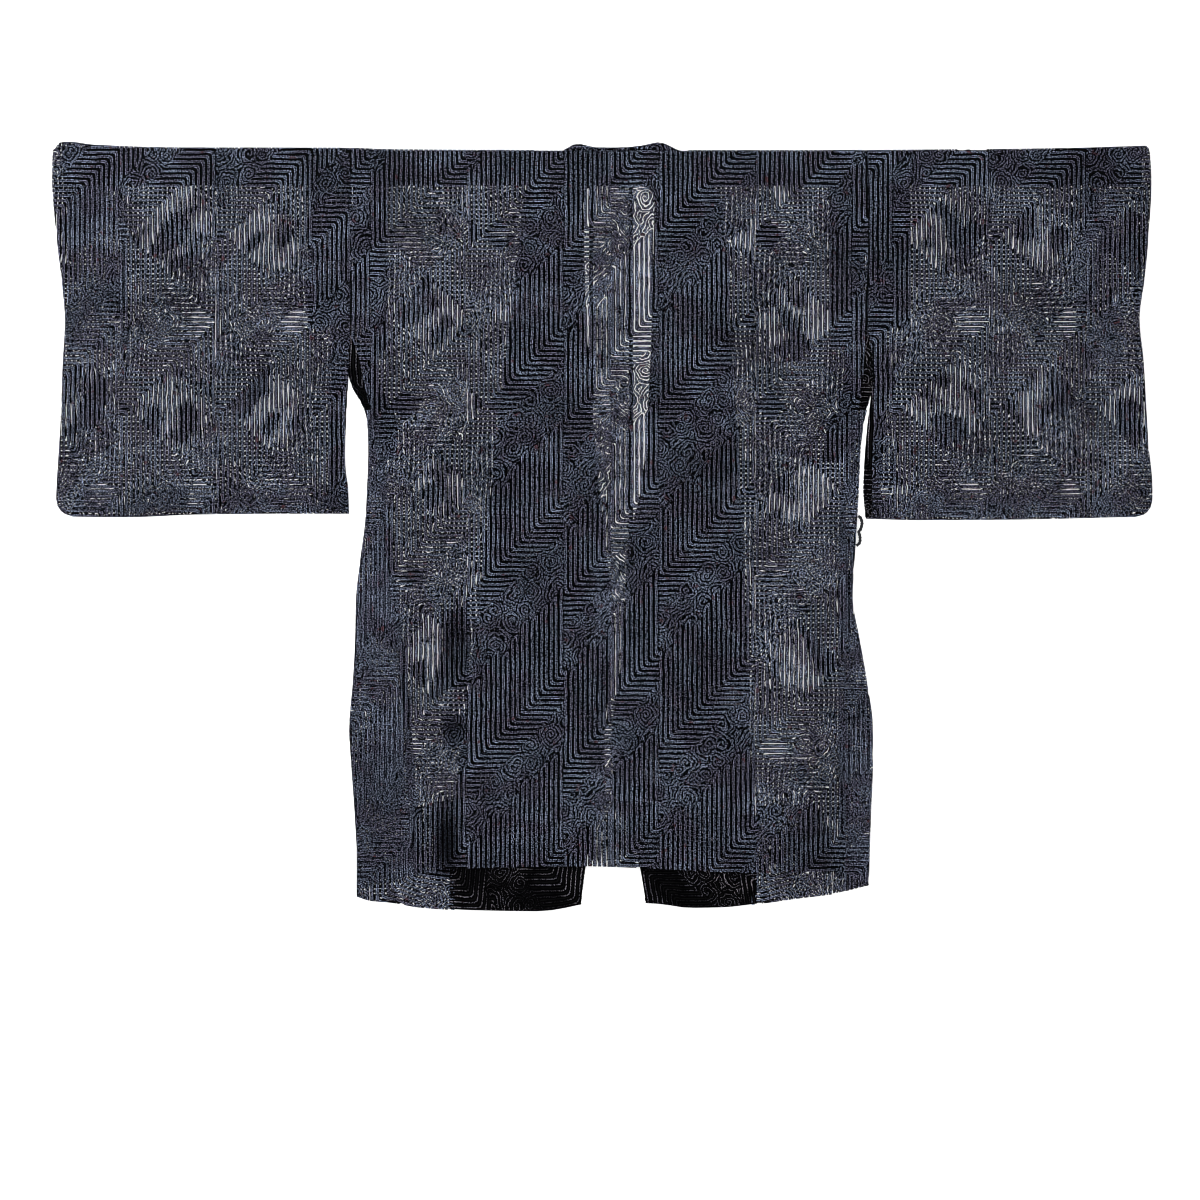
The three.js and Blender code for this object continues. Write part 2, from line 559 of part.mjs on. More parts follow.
// ---- the coat ----
const cloth = new THREE.MeshStandardMaterial({ color: 0x3c404c, roughness: 0.85, metalness: 0 });
const darkCloth = new THREE.MeshStandardMaterial({ color: 0x0b0b0d, roughness: 0.9, metalness: 0 });
const coat = new THREE.Group();

function add(name, geometry, material = cloth) {
  const mesh = new THREE.Mesh(geometry, material);
  mesh.name = name;
  coat.add(mesh);
}

for (const hand of hands) {
  add(`body_${hand.name}`, bodyPanel(hand));
  add(`sleeve_${hand.name}`, sleeve(hand));
  add(`gusset_${hand.name}`, gusset(hand));
}
add("collar", collar());
add("shoulder_stay", stay(), darkCloth);
add("side_loop", loop(), darkCloth);

export default coat;
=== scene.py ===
import math

import bpy
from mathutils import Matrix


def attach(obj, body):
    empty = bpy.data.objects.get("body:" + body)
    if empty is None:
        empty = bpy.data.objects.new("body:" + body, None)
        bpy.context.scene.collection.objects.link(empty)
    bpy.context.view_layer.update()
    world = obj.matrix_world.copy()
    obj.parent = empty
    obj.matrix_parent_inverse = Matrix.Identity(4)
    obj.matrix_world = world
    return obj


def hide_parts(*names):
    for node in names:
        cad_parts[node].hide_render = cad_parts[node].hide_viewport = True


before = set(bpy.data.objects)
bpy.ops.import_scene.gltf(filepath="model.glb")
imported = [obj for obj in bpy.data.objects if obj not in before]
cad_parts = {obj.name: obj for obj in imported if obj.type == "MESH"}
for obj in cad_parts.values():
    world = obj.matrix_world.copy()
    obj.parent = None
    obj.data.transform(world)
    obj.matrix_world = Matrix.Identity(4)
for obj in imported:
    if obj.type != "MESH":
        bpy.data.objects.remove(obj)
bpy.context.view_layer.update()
bpy.ops.object.select_all(action="DESELECT")
print("frame loaded:", len(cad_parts), "nodes")

mm = 0.001

# the coat lies on its front with the back uppermost; "drop" is the distance below the shoulder line,
# "out" the distance from the middle of the frame to either side, all in millimetres
coat = {
    "shoulderY": 444,
    "centreSeam": 10,
    "layer": 1.5,            # the height that one resting layer takes
    "clothMiddle": 0.6,      # from a layer's underside to the middle of its cloth
    "lowestMiddle": 0.35,    # the same for the layer that lies on the floor
    "thickness": 0.5,
    "slit": 307,
    "hemTurn": 80,
    "length": 898,
    "step": 7,               # between two rows or columns of a cloth grid
}

# rows are (x, drop)
topLine = [
    (-649, -6), (-630, -8.5), (-600, -5), (-500, -1.8), (-315, -1.5), (-239, 0.6), (-44, 1.4), (96, 1.6),
    (233, 1.4), (380, 0.8), (539, -0.8), (649, -4),
]
frontHem = [
    (-313, 876), (-290, 880), (-274, 885), (-251, 887), (-215, 893), (-180, 895.5), (-145, 897), (-74, 898),
    (-38, 893), (-24, 890), (50, 888.5), (68, 889.5), (103, 894), (139, 893.5), (182, 889), (233, 882),
    (280, 876), (313, 868),
]
backHem = [
    (-225, 856), (-180, 847), (-20, 844), (44, 846), (107, 849), (182, 852), (225, 850), (290, 852),
]
# rows are (out, left drop, right drop)
sleeveBottom = [
    (299, 429, 434.5), (375, 429, 436.5), (480, 430, 436), (560, 433, 434.5), (622, 432.5, 433),
    (649, 431, 433),
]
# rows are (drop, left out, right out)
cuffEdge = [
    (0, 648.4, 645), (35, 648.9, 647), (106, 643.5, 643.5), (153, 638, 639), (200, 634, 633),
    (248, 636.5, 638), (342, 640.5, 643.5), (401, 644, 648.5), (433, 645, 648),
]
sleeveInnerBack = [
    (0, 298.15, 313.45), (212, 298.15, 313.45), (240, 299, 318), (280, 301, 320.5),
    (319, 302.5, 320), (354, 304, 318.5), (375, 303, 318), (401, 300, 318), (433, 299, 319),
]
sleeveInnerFront = [
    (0, 298.15, 313.45), (212, 298.15, 313.45), (240, 299, 316.4), (271, 299.8, 317), (290, 301, 316.5),
    (319, 302.5, 313), (366, 304, 309), (401, 300, 307.5), (433, 299, 310),
]
sideOutline = [
    (0, 297.85, 313.15), (212, 297.85, 313.15), (240, 298.6, 316), (268, 299.2, 316.4), (279, 296, 316.3),
    (295, 287, 315), (307, 281, 311.5), (319, 278, 308.5), (354, 276.5, 304), (401, 278, 302),
    (437, 280, 300), (484, 286, 297), (531, 291, 294.5), (578, 292, 302.5), (625, 294.5, 311),
    (684, 299, 318.5), (720, 297, 318.5), (791, 292, 316), (838, 290, 314.5), (890, 290, 313.5),
]
backSide = [
    (0, 297.85, 313.15), (212, 297.85, 313.15), (240, 289, 309), (280, 280, 306), (320, 271, 300),
    (460, 256.5, 286), (672, 234, 286), (861, 221, 286),
]
gussetUnder = [(300, 0, 6), (460, 0, 15), (672, 0, 31), (861, 0, 42)]
collarSeam = [
    (1, 80, 100), (24, 84, 124), (60, 92, 141), (224, 111.5, 152), (413, 133, 163),
    (578, 151.5, 170), (696, 166, 174), (850, 180, 182), (891, 180, 182),
]
frontEdge = [
    (42, 23, 62), (177, 20.5, 59), (265, 15, 56), (383, 6, 48), (484, -5.5, 29), (578, -12.5, 25.5),
    (696, -2, 11.5), (755, -2, 13.5), (802, 10, 32.5), (844, 20.5, 44), (891, 26, 51.5),
]
# rows are (place along the neck, seam x, seam drop, fold x, fold drop)
neckTurn = [
    (0, -84, 24, -22, 52), (1, -66, 5, -18, 46), (2, -45, 0.5, -9, 43), (2.75, -30, -6.5, 0, 42.5),
    (3.25, -18, -4, 8, 42.5), (3.5, -8, -2, 13, 42.5), (4, 20, -2, 20, 42.5), (4.5, 46, -4, 30, 42.5),
    (5, 65, -8, 38, 42.5), (6, 85, -1, 48, 43.5), (7, 104, 5, 56, 47), (8, 124, 24, 61, 54),
]

# soft ridges: rows are (side, out or x, lean, from drop, to drop, spread, lift)
sleeveFolds = [
    (-1, 352, -6, 60, 420, 19, 2.2), (-1, 424, 8, 30, 400, 24, 3.2), (-1, 498, -8, 90, 425, 21, 2.6),
    (-1, 566, 10, 40, 380, 22, 3.0), (-1, 618, 4, 10, 250, 13, 2.4), (1, 346, 8, 120, 425, 17, 2.4),
    (1, 379, 4, 40, 330, 18, 3.4), (1, 452, -4, 30, 425, 22, 4.2), (1, 535, 6, 20, 400, 20, 4.0),
    (1, 616, 6, 30, 425, 15, 3.6),
]
backFolds = [
    (0, -243, -14, 120, 600, 18, 2.0), (0, -219, 4, 560, 850, 15, 3.4), (0, -150, 10, 600, 850, 19, 4.0),
    (0, -104, -30, 60, 520, 22, 2.4), (0, -50, 8, 320, 850, 20, 2.2), (0, 62, 10, 180, 700, 22, 2.2),
    (0, 118, 14, 420, 850, 20, 2.8), (0, 146, 12, 60, 420, 19, 2.6), (0, 196, -6, 480, 830, 17, 3.2),
    (0, 238, 10, 50, 850, 16, 3.0),
]

hands = [("left", -1), ("right", 1)]
column = {"left": 1, "right": 2}


def mix(a, b, t):
    return a + (b - a) * t


def smooth(start, end, t):
    t = min(max((t - start) / (end - start), 0), 1)
    return t * t * (3 - 2 * t)


# a smooth line through a table's rows, without overshoot
def readTable(table, value, at):
    last = len(table) - 1
    if at <= table[0][0]:
        return table[0][value]
    if at >= table[last][0]:
        return table[last][value]
    k = 0
    while table[k + 1][0] < at:
        k += 1

    def slope(a):
        return (table[a + 1][value] - table[a][value]) / (table[a + 1][0] - table[a][0])

    def tangent(a):
        if a in (0, last):
            return slope(min(a, last - 1))
        before, after = slope(a - 1), slope(a)
        return 0 if before * after <= 0 else 2 * before * after / (before + after)

    h = table[k + 1][0] - table[k][0]
    t = (at - table[k][0]) / h
    return ((2 * t ** 3 - 3 * t ** 2 + 1) * table[k][value] + (t ** 3 - 2 * t ** 2 + t) * h * tangent(k)
            + (3 * t ** 2 - 2 * t ** 3) * table[k + 1][value] + (t ** 3 - t ** 2) * h * tangent(k + 1))


def evenShares(length, extra=()):
    ends = sorted([0, *[e for e in extra if 0 < e < length], length])
    shares = [0]
    for a, b in zip(ends, ends[1:]):
        count = max(1, round((b - a) / coat["step"]))
        shares += [mix(a, b, n / count) / length for n in range(1, count + 1)]
    return shares


def ridges(folds, x, drop):
    height = 0
    for _, middle, lean, start, end, spread, lift in folds:
        middle += lean * (drop - start) / (end - start)
        along = smooth(start, start + 90, drop) * (1 - smooth(end - 70, end, drop))
        height += lift * along * math.exp(-((x - middle) / spread) ** 2)
    return height


# where a grid's point lies, when u goes from the left edge to the right one and v from top to bottom
def findPlace(u, v, left, right, top, bottom):
    drop = mix(top(left(0)), bottom(left(0)), v)
    x = mix(left(drop), right(drop), u)
    for _ in range(3):
        drop = mix(top(x), bottom(x), v)
        x = mix(left(drop), right(drop), u)
    return x, drop


weave = {
    "pitch": 5.7,            # from one cord to the next
    "tile": (114, 203),      # the repeat's width and height
    "barReach": 38,          # how far the level cords run below the diagonal of corners
    "postReach": 97,         # how far the upright cords rise above it
    "reachSpread": 58,       # how much that differs from one repeat to the next
    "postSpread": 16,        # and from one pair of upright cords to the next
    "postFrom": 24,          # how far above the diagonal they begin to go in pairs
    "cornerRound": 7,
    "scrollSize": 23,
    "scrollPitch": 4.2,
    "scrollBend": 1.9,       # how much the scrolls lose their roundness
    "wander": 1.3,           # how far the cords stray from their course
    "phase": 0.62,           # where in its pitch a cord's middle lies
    "ragged": 0.24,          # how much the grain frays a cord's edges, in pitches
    "gapFrom": 0.695,        # where the gap between two cords begins
    "gapSpread": 0.5,        # how much that differs from place to place
    "gapSoft": 0.12,         # how soft its edge is
    "gapCover": 0.03,        # the fine ground between the cords
}


def addNode(tree, kind, settings=None, inputs=None):
    node = tree.nodes.new(kind)
    for name, value in (settings or {}).items():
        setattr(node, name, value)
    for name, value in (inputs or {}).items():
        if isinstance(value, bpy.types.NodeSocket):
            tree.links.new(value, node.inputs[name])
        else:
            node.inputs[name].default_value = value
    return node


def calc(tree, operation, *values):
    return addNode(tree, "ShaderNodeMath", {"operation": operation}, dict(enumerate(values))).outputs[0]


def ramp(tree, value, start, end, low=0.0, high=1.0):
    inputs = {"Value": value, "From Min": start, "From Max": end, "To Min": low, "To Max": high}
    return addNode(tree, "ShaderNodeMapRange", {"interpolation_type": "SMOOTHSTEP"}, inputs).outputs[0]


def mixValues(tree, share, a, b):
    return addNode(tree, "ShaderNodeMix", None, {"Factor": share, "A": a, "B": b}).outputs[0]


def noise(tree, place, scale, detail, roughness=0.5):
    return addNode(tree, "ShaderNodeTexNoise", {"noise_dimensions": "2D"},
                   {"Vector": place, "Scale": scale, "Detail": detail, "Roughness": roughness}).outputs


def chance(tree, dimensions, name, value):
    node = addNode(tree, "ShaderNodeTexWhiteNoise", {"noise_dimensions": dimensions}, {name: value})
    return node.outputs["Value"]


def mixColours(tree, share, a, b):
    node = addNode(tree, "ShaderNodeMix", {"data_type": "RGBA"})
    for index, value in ((0, share), (6, a), (7, b)):
        if isinstance(value, bpy.types.NodeSocket):
            tree.links.new(value, node.inputs[index])
        else:
            node.inputs[index].default_value = value
    return node.outputs[2]


def colour(red, green, blue):
    linear = []
    for value in (red, green, blue):
        share = value / 255
        linear.append(share / 12.92 if value < 11 else ((share + 0.055) / 1.055) ** 2.4)
    return (*linear, 1)


# the cords' course: nested corners in slanting chains, with scrolls between the chains
def makeCordPattern():
    tree = bpy.data.node_groups.new("cordPattern", "ShaderNodeTree")
    for name in ("Across", "Speckle", "GlintAndGap", "Patch", "Cloud"):
        tree.interface.new_socket(name, in_out="OUTPUT", socket_type="NodeSocketFloat")
    out = tree.nodes.new("NodeGroupOutput")
    uv = addNode(tree, "ShaderNodeUVMap", {"uv_map": "cloth"}).outputs[0]
    pitch = weave["pitch"]
    width, height = weave["tile"]

    # the place on the cloth in millimetres, a little astray
    soft = noise(tree, uv, 38, 1.5, 0.6)["Color"]
    shift = addNode(tree, "ShaderNodeSeparateColor", None, {"Color": soft})
    place = addNode(tree, "ShaderNodeSeparateXYZ", None, {"Vector": uv})
    stray = 2 * weave["wander"]
    x, y = [calc(tree, "MULTIPLY_ADD", place.outputs[k], 1000,
                 calc(tree, "MULTIPLY_ADD", shift.outputs[k], stray, -stray / 2)) for k in (0, 1)]

    # the place in the repeat, and its height above the diagonal on which the corners lie
    tileX = calc(tree, "FLOORED_MODULO", x, width)
    lifted = calc(tree, "ADD", calc(tree, "SUBTRACT", y, tileX), weave["barReach"])
    above = calc(tree, "SUBTRACT", calc(tree, "FLOORED_MODULO", lifted, height), weave["barReach"])
    tileY = calc(tree, "ADD", tileX, above)

    # nested corners, whose upright cords close in pairs with round tops
    corner = calc(tree, "DIVIDE", calc(tree, "SMOOTH_MIN", tileX, tileY, weave["cornerRound"]), pitch)
    pair = calc(tree, "ROUND", calc(tree, "DIVIDE", tileX, 2 * pitch))
    aside = calc(tree, "MULTIPLY_ADD", pair, -2 * pitch, tileX)
    random = chance(tree, "1D", "W", pair)
    tile = addNode(tree, "ShaderNodeCombineXYZ", None, {
        "X": calc(tree, "FLOOR", calc(tree, "DIVIDE", x, width)),
        "Y": calc(tree, "FLOOR", calc(tree, "DIVIDE", lifted, height))}).outputs[0]
    reach = calc(tree, "MULTIPLY_ADD", chance(tree, "2D", "Vector", tile), weave["reachSpread"],
                 weave["postReach"] - (weave["reachSpread"] + weave["postSpread"]) / 2)
    postTop = calc(tree, "MULTIPLY_ADD", random, weave["postSpread"], reach)
    past = calc(tree, "MAXIMUM", calc(tree, "SUBTRACT", above, postTop), 0)
    capped = calc(tree, "DIVIDE", calc(tree, "SQRT", calc(
        tree, "MULTIPLY_ADD", aside, aside, calc(tree, "MULTIPLY", past, past))), pitch)
    isPost = calc(tree, "GREATER_THAN", above, weave["postFrom"])
    straight = mixValues(tree, isPost, corner, capped)

    # spirals round the eyes of random cells, some turning left and some right
    size = weave["scrollSize"]
    cellPlace = addNode(tree, "ShaderNodeCombineXYZ", None, {
        "X": calc(tree, "DIVIDE", tileX, size), "Y": calc(tree, "DIVIDE", tileY, size)}).outputs[0]
    cells = addNode(tree, "ShaderNodeTexVoronoi", {"voronoi_dimensions": "2D"},
                    {"Vector": cellPlace, "Scale": 1, "Randomness": 0.85})
    fromEye = addNode(tree, "ShaderNodeVectorMath", {"operation": "SUBTRACT"},
                      {0: cellPlace, 1: cells.outputs["Position"]}).outputs[0]
    eye = addNode(tree, "ShaderNodeSeparateXYZ", None, {"Vector": fromEye})
    turn = calc(tree, "DIVIDE", calc(tree, "ARCTAN2", eye.outputs[1], eye.outputs[0]), 2 * math.pi)
    cellHue = addNode(tree, "ShaderNodeSeparateColor", None, {"Color": cells.outputs["Color"]})
    way = calc(tree, "SIGN", calc(tree, "SUBTRACT", cellHue.outputs[0], 0.5))
    bend = calc(tree, "MULTIPLY", noise(tree, uv, 95, 1)[0], weave["scrollBend"])
    radius = calc(tree, "MULTIPLY_ADD", cells.outputs["Distance"], size / weave["scrollPitch"], bend)
    scroll = calc(tree, "MULTIPLY_ADD", turn, way, radius)

    inScroll = calc(tree, "GREATER_THAN", past, pitch)
    course = mixValues(tree, inScroll, straight, scroll)
    grain = noise(tree, uv, 640, 2, 0.7)[0]
    ragged = calc(tree, "FRACT", calc(tree, "MULTIPLY_ADD", grain, weave["ragged"], course))
    fromCord = calc(tree, "ABSOLUTE", calc(tree, "SUBTRACT", ragged, weave["phase"]))
    fromCord = calc(tree, "MINIMUM", fromCord, calc(tree, "SUBTRACT", 1, fromCord))
    across = calc(tree, "MULTIPLY", fromCord, 2)

    # this noise places the painted reddish glints of the metallic thread, and also varies how wide the gaps
    # are
    warm = noise(tree, uv, 75, 2, 0.6)[0]
    patch = noise(tree, uv, 26, 1)[0]
    cloud = noise(tree, uv, 13, 2, 0.6)[0]
    for socket, name in ((across, "Across"), (grain, "Speckle"), (warm, "GlintAndGap"), (patch, "Patch"),
                         (cloud, "Cloud")):
        tree.links.new(socket, out.inputs[name])
    return tree


cordPattern = makeCordPattern()

# the warm colours are painted reddish glints of the metallic thread, not the yarn's own colour
rightSide = {
    "name": "patternedClothRight", "edge": (2, 3, 8), "dark": (8, 10, 18), "light": (204, 219, 255),
    "warm": (112, 60, 60), "tint": (162, 162, 192), "coreTo": 0.4, "middle": (0.08, 0.3, 0.22, 1),
    "dimmest": 0.6, "cloud": (0.36, 0.52), "roughness": 0.78, "sheen": 0.02, "gloss": 0.06,
}
wrongSide = {
    "name": "patternedClothWrong", "edge": (1, 1, 2), "dark": (3, 3, 4), "light": (190, 184, 196),
    "warm": (70, 52, 52), "tint": (120, 118, 130), "coreTo": 0.14, "middle": (0, 0.1, 1, 1),
    "dimmest": 0.05, "cloud": (0.42, 0.56), "roughness": 0.85, "sheen": 0.0, "gloss": 0.02,
}

# what both sides share
yarn = {
    "rimSoft": 0.14,               # how soft the edge of a cord's pale part is
    "speckle": (0.45, 0.62),       # from the dark flecks to the pale yarn
    "tinted": (0.4, 0.62),         # from the light colour to the tint
    # where the painted reddish glints begin and how strong they grow
    "warm": (0.67, 0.78, 0, 0.7),  # from no warmth to the warmest
    "reliefTo": 0.75,              # where a cord's raised part ends
    "fuzz": 0.6,                   # how much the grain adds to the relief
    "bump": {"Strength": 0.7, "Distance": 0.0006},
    "sheenRoughness": 0.4,
}

# painted shade in troughs of the back, where many black layers lie below: the cords there are darkened as if
# in shadow;
# rows are (x, drop, half width, half height, how bright the cords stay)
troughShade = [(-173, 587, 16, 46, 0.3), (-174, 685, 14, 19, 0.3), (-183, 814, 17, 46, 0.06)]
troughShadeEdge = (0.3, 1.5)     # where the dark begins to fade and where it ends, in half sizes


def makePatternedCloth(look):
    material = bpy.data.materials.new(look["name"])
    material.use_nodes = True
    tree = material.node_tree
    shader = tree.nodes["Principled BSDF"]
    pattern = addNode(tree, "ShaderNodeGroup", {"node_tree": cordPattern})
    across = pattern.outputs["Across"]
    # each cord is two pale rims with a darker middle, on black edges
    core = ramp(tree, across, look["coreTo"], look["coreTo"] + yarn["rimSoft"], 1, 0)
    core = calc(tree, "MULTIPLY", core, ramp(tree, across, *look["middle"]))
    shade = ramp(tree, pattern.outputs["Cloud"], *look["cloud"], look["dimmest"], 1)
    core = calc(tree, "MULTIPLY", core, shade)
    # painted shade: the cords grow darker towards the middle of each trough in the back
    place = addNode(tree, "ShaderNodeTexCoord").outputs["Object"]
    for x, drop, halfWidth, halfHeight, bright in troughShade:
        away = addNode(tree, "ShaderNodeVectorMath", {"operation": "SUBTRACT"},
                       {0: place, 1: (x * mm, (coat["shoulderY"] - drop) * mm, 0)}).outputs[0]
        away = addNode(tree, "ShaderNodeVectorMath", {"operation": "MULTIPLY"},
                       {0: away, 1: (1 / (halfWidth * mm), 1 / (halfHeight * mm), 0)}).outputs[0]
        away = addNode(tree, "ShaderNodeVectorMath", {"operation": "LENGTH"}, {0: away}).outputs["Value"]
        core = calc(tree, "MULTIPLY", core, ramp(tree, away, *troughShadeEdge, bright, 1))
    tinted = ramp(tree, pattern.outputs["Patch"], *yarn["tinted"])
    cord = mixColours(tree, tinted, colour(*look["light"]), colour(*look["tint"]))
    speckle = ramp(tree, pattern.outputs["Speckle"], *yarn["speckle"])
    cord = mixColours(tree, speckle, colour(*look["dark"]), cord)
    # painted glints: reddish flecks where the metallic thread would catch the light
    warmth = ramp(tree, pattern.outputs["GlintAndGap"], *yarn["warm"])
    cord = mixColours(tree, warmth, cord, colour(*look["warm"]))
    cord = mixColours(tree, core, colour(*look["edge"]), cord)
    tree.links.new(cord, shader.inputs["Base Color"])
    # between the cords the cloth is nearly open
    spread = weave["gapSpread"]
    gapFrom = calc(tree, "MULTIPLY_ADD", pattern.outputs["GlintAndGap"], spread, weave["gapFrom"] - spread / 2)
    gap = ramp(tree, across, gapFrom, calc(tree, "ADD", gapFrom, weave["gapSoft"]), 1, weave["gapCover"])
    tree.links.new(gap, shader.inputs["Alpha"])
    relief = ramp(tree, across, 0, yarn["reliefTo"], 1, 0)
    relief = calc(tree, "MULTIPLY_ADD", pattern.outputs["Speckle"], yarn["fuzz"], relief)
    bump = addNode(tree, "ShaderNodeBump", None, {"Height": relief, **yarn["bump"]})
    tree.links.new(bump.outputs[0], shader.inputs["Normal"])
    shader.inputs["Roughness"].default_value = look["roughness"]
    shader.inputs["Sheen Weight"].default_value = look["sheen"]
    shader.inputs["Sheen Roughness"].default_value = yarn["sheenRoughness"]
    shader.inputs["Specular IOR Level"].default_value = look["gloss"]
    return material


# a plain black weave, for the stay and the selvedges
plainWeave = {
    "name": "plainBlackCloth", "thread": 0.0009, "dark": (2, 2, 3), "light": (11, 11, 13),
    "roughness": 0.85, "gloss": 0.12,
}


def makePlainCloth(look):
    material = bpy.data.materials.new(look["name"])
    material.use_nodes = True
    tree = material.node_tree
    shader = tree.nodes["Principled BSDF"]
    uv = addNode(tree, "ShaderNodeUVMap", {"uv_map": "cloth"}).outputs[0]
    threads, scale = [], math.pi / 10 / look["thread"]
    for direction in ("X", "Y"):
        wave = addNode(tree, "ShaderNodeTexWave", {"bands_direction": direction},
                       {"Vector": uv, "Scale": scale, "Distortion": 0.4, "Detail": 1})
        threads.append(wave.outputs["Fac"])
    weft = calc(tree, "MULTIPLY", *threads)
    cloud = addNode(tree, "ShaderNodeTexNoise", None, {"Vector": uv, "Scale": 60, "Detail": 3})
    tone = calc(tree, "MULTIPLY", weft, ramp(tree, cloud.outputs[0], 0.3, 0.7, 0.5, 1))
    tone = mixColours(tree, tone, colour(*look["dark"]), colour(*look["light"]))
    tree.links.new(tone, shader.inputs["Base Color"])
    bump = addNode(tree, "ShaderNodeBump", None, {"Height": weft, "Strength": 0.5, "Distance": 0.0003})
    tree.links.new(bump.outputs[0], shader.inputs["Normal"])
    shader.inputs["Roughness"].default_value = look["roughness"]
    shader.inputs["Specular IOR Level"].default_value = look["gloss"]
    return material


clothRight = makePatternedCloth(rightSide)
clothWrong = makePatternedCloth(wrongSide)
plainBlack = makePlainCloth(plainWeave)
print("materials made")


# a grid is a list of rows of (x, drop, height of the cloth's middle, cloth across, cloth along);
# the cloth's right side is on the left-hand side of a walk down the rows, seen from the next column
def buildSheet(name, grids, hand=-1, turned=False):
    points, faces, slots, corners = [], [], [], []
    for slotIndex, grid in grids:
        start = len(points)
        columns = len(grid[0])
        for row in grid:
            for x, drop, z, across, along in row:
                points.append((x * -hand * mm, (coat["shoulderY"] - drop) * mm, z * mm))
                u, v = across * -hand * mm, along * mm
                corners.append((-u, -v) if turned else (u, v))
        for j in range(len(grid) - 1):
            for i in range(columns - 1):
                a = start + j * columns + i
                face = (a, a + columns, a + columns + 1, a + 1)
                faces.append(face[::-1] if hand > 0 else face)
                slots.append(slotIndex)
    mesh = bpy.data.meshes.new(name)
    mesh.from_pydata(points, [], faces)
    layer = mesh.uv_layers.new(name="cloth")
    for loop in mesh.loops:
        layer.data[loop.index].uv = corners[loop.vertex_index]
    for polygon, slotIndex in zip(mesh.polygons, slots):
        polygon.material_index = slotIndex
    piece = bpy.data.objects.new(name, mesh)
    bpy.context.collection.objects.link(piece)
    for material in (clothRight, clothWrong, plainBlack):
        mesh.materials.append(material)
    bpy.ops.object.select_all(action="DESELECT")
    piece.select_set(True)
    bpy.context.view_layer.objects.active = piece
    bpy.ops.object.mode_set(mode="EDIT")
    bpy.ops.mesh.select_all(action="SELECT")
    bpy.ops.mesh.remove_doubles(threshold=0.00002)
    bpy.ops.object.mode_set(mode="OBJECT")
    wall = piece.modifiers.new("wall", "SOLIDIFY")
    wall.thickness = coat["thickness"] * mm
    wall.offset = 0
    wall.material_offset = 1
    wall.use_quality_normals = True
    bpy.ops.object.modifier_apply(modifier=wall.name)
    bpy.ops.object.shade_smooth_by_angle(angle=math.radians(50))
    return piece


# points of a half turn between two layers, for a folded edge that faces the way (dx, dDrop)
def foldRows(lower, upper, reach, dx, dDrop):
    rows = []
    for angle in (30, 90, 150):
        t = (1 - math.cos(math.radians(angle))) / 2
        push = reach * math.sin(math.radians(angle))
        rows.append([
            (mix(a[0], b[0], t) + dx * push, mix(a[1], b[1], t) + dDrop * push, mix(a[2], b[2], t),
             mix(a[3], b[3], t), mix(a[4], b[4], t)) for a, b in zip(lower, upper)])
    return rows


def outward(table, handName):
    return lambda drop: -readTable(table, column[handName], drop)


def dropAt(table, hand):
    return lambda x: readTable(table, 1, x * -hand)


# the lower layer's cloth lies a little askew, so the cords of both layers cross and part in patches
def askew(handName, across, drop):
    place = across + {"left": 0, "right": 130}[handName]
    ripple = 1.1 * math.sin(place / 29 + drop / 43) + 0.8 * math.sin(place / 16 - drop / 31 + 2)
    ripple += 0.7 * math.sin(place / 9 + drop / 13 + 4)
    return across + ripple * smooth(0, 60, drop)


# an allowance or a hem that lies cord over gap, so that it closes the cloth
def halfPitch(across, along):
    return across + weave["pitch"] / 2, along + weave["pitch"] / 2


# how much the stay below the shoulder line lifts what lies on it
def overStay(drop):
    return coat["layer"] * (1 - smooth(48.5, 102.5, drop))


sleeveCloth = {
    "width": 345, "height": 440,
    "cornerRound": 20, "topRound": 8,
    "between": 0.9,          # where an allowance lies, between the two layers
    "bottomAllowance": 30, "armholeAllowance": 50,
    "sewnFrom": 242,         # from this drop down the cuff is sewn shut
    "seamHeight": 1.2,       # where front and back meet
    "openHem": 20,
    # from x, to x, from drop, to drop
    "cuffHem": {"left": (-632, -562, 4, 236), "right": (-612, -558, 50, 250)},
}


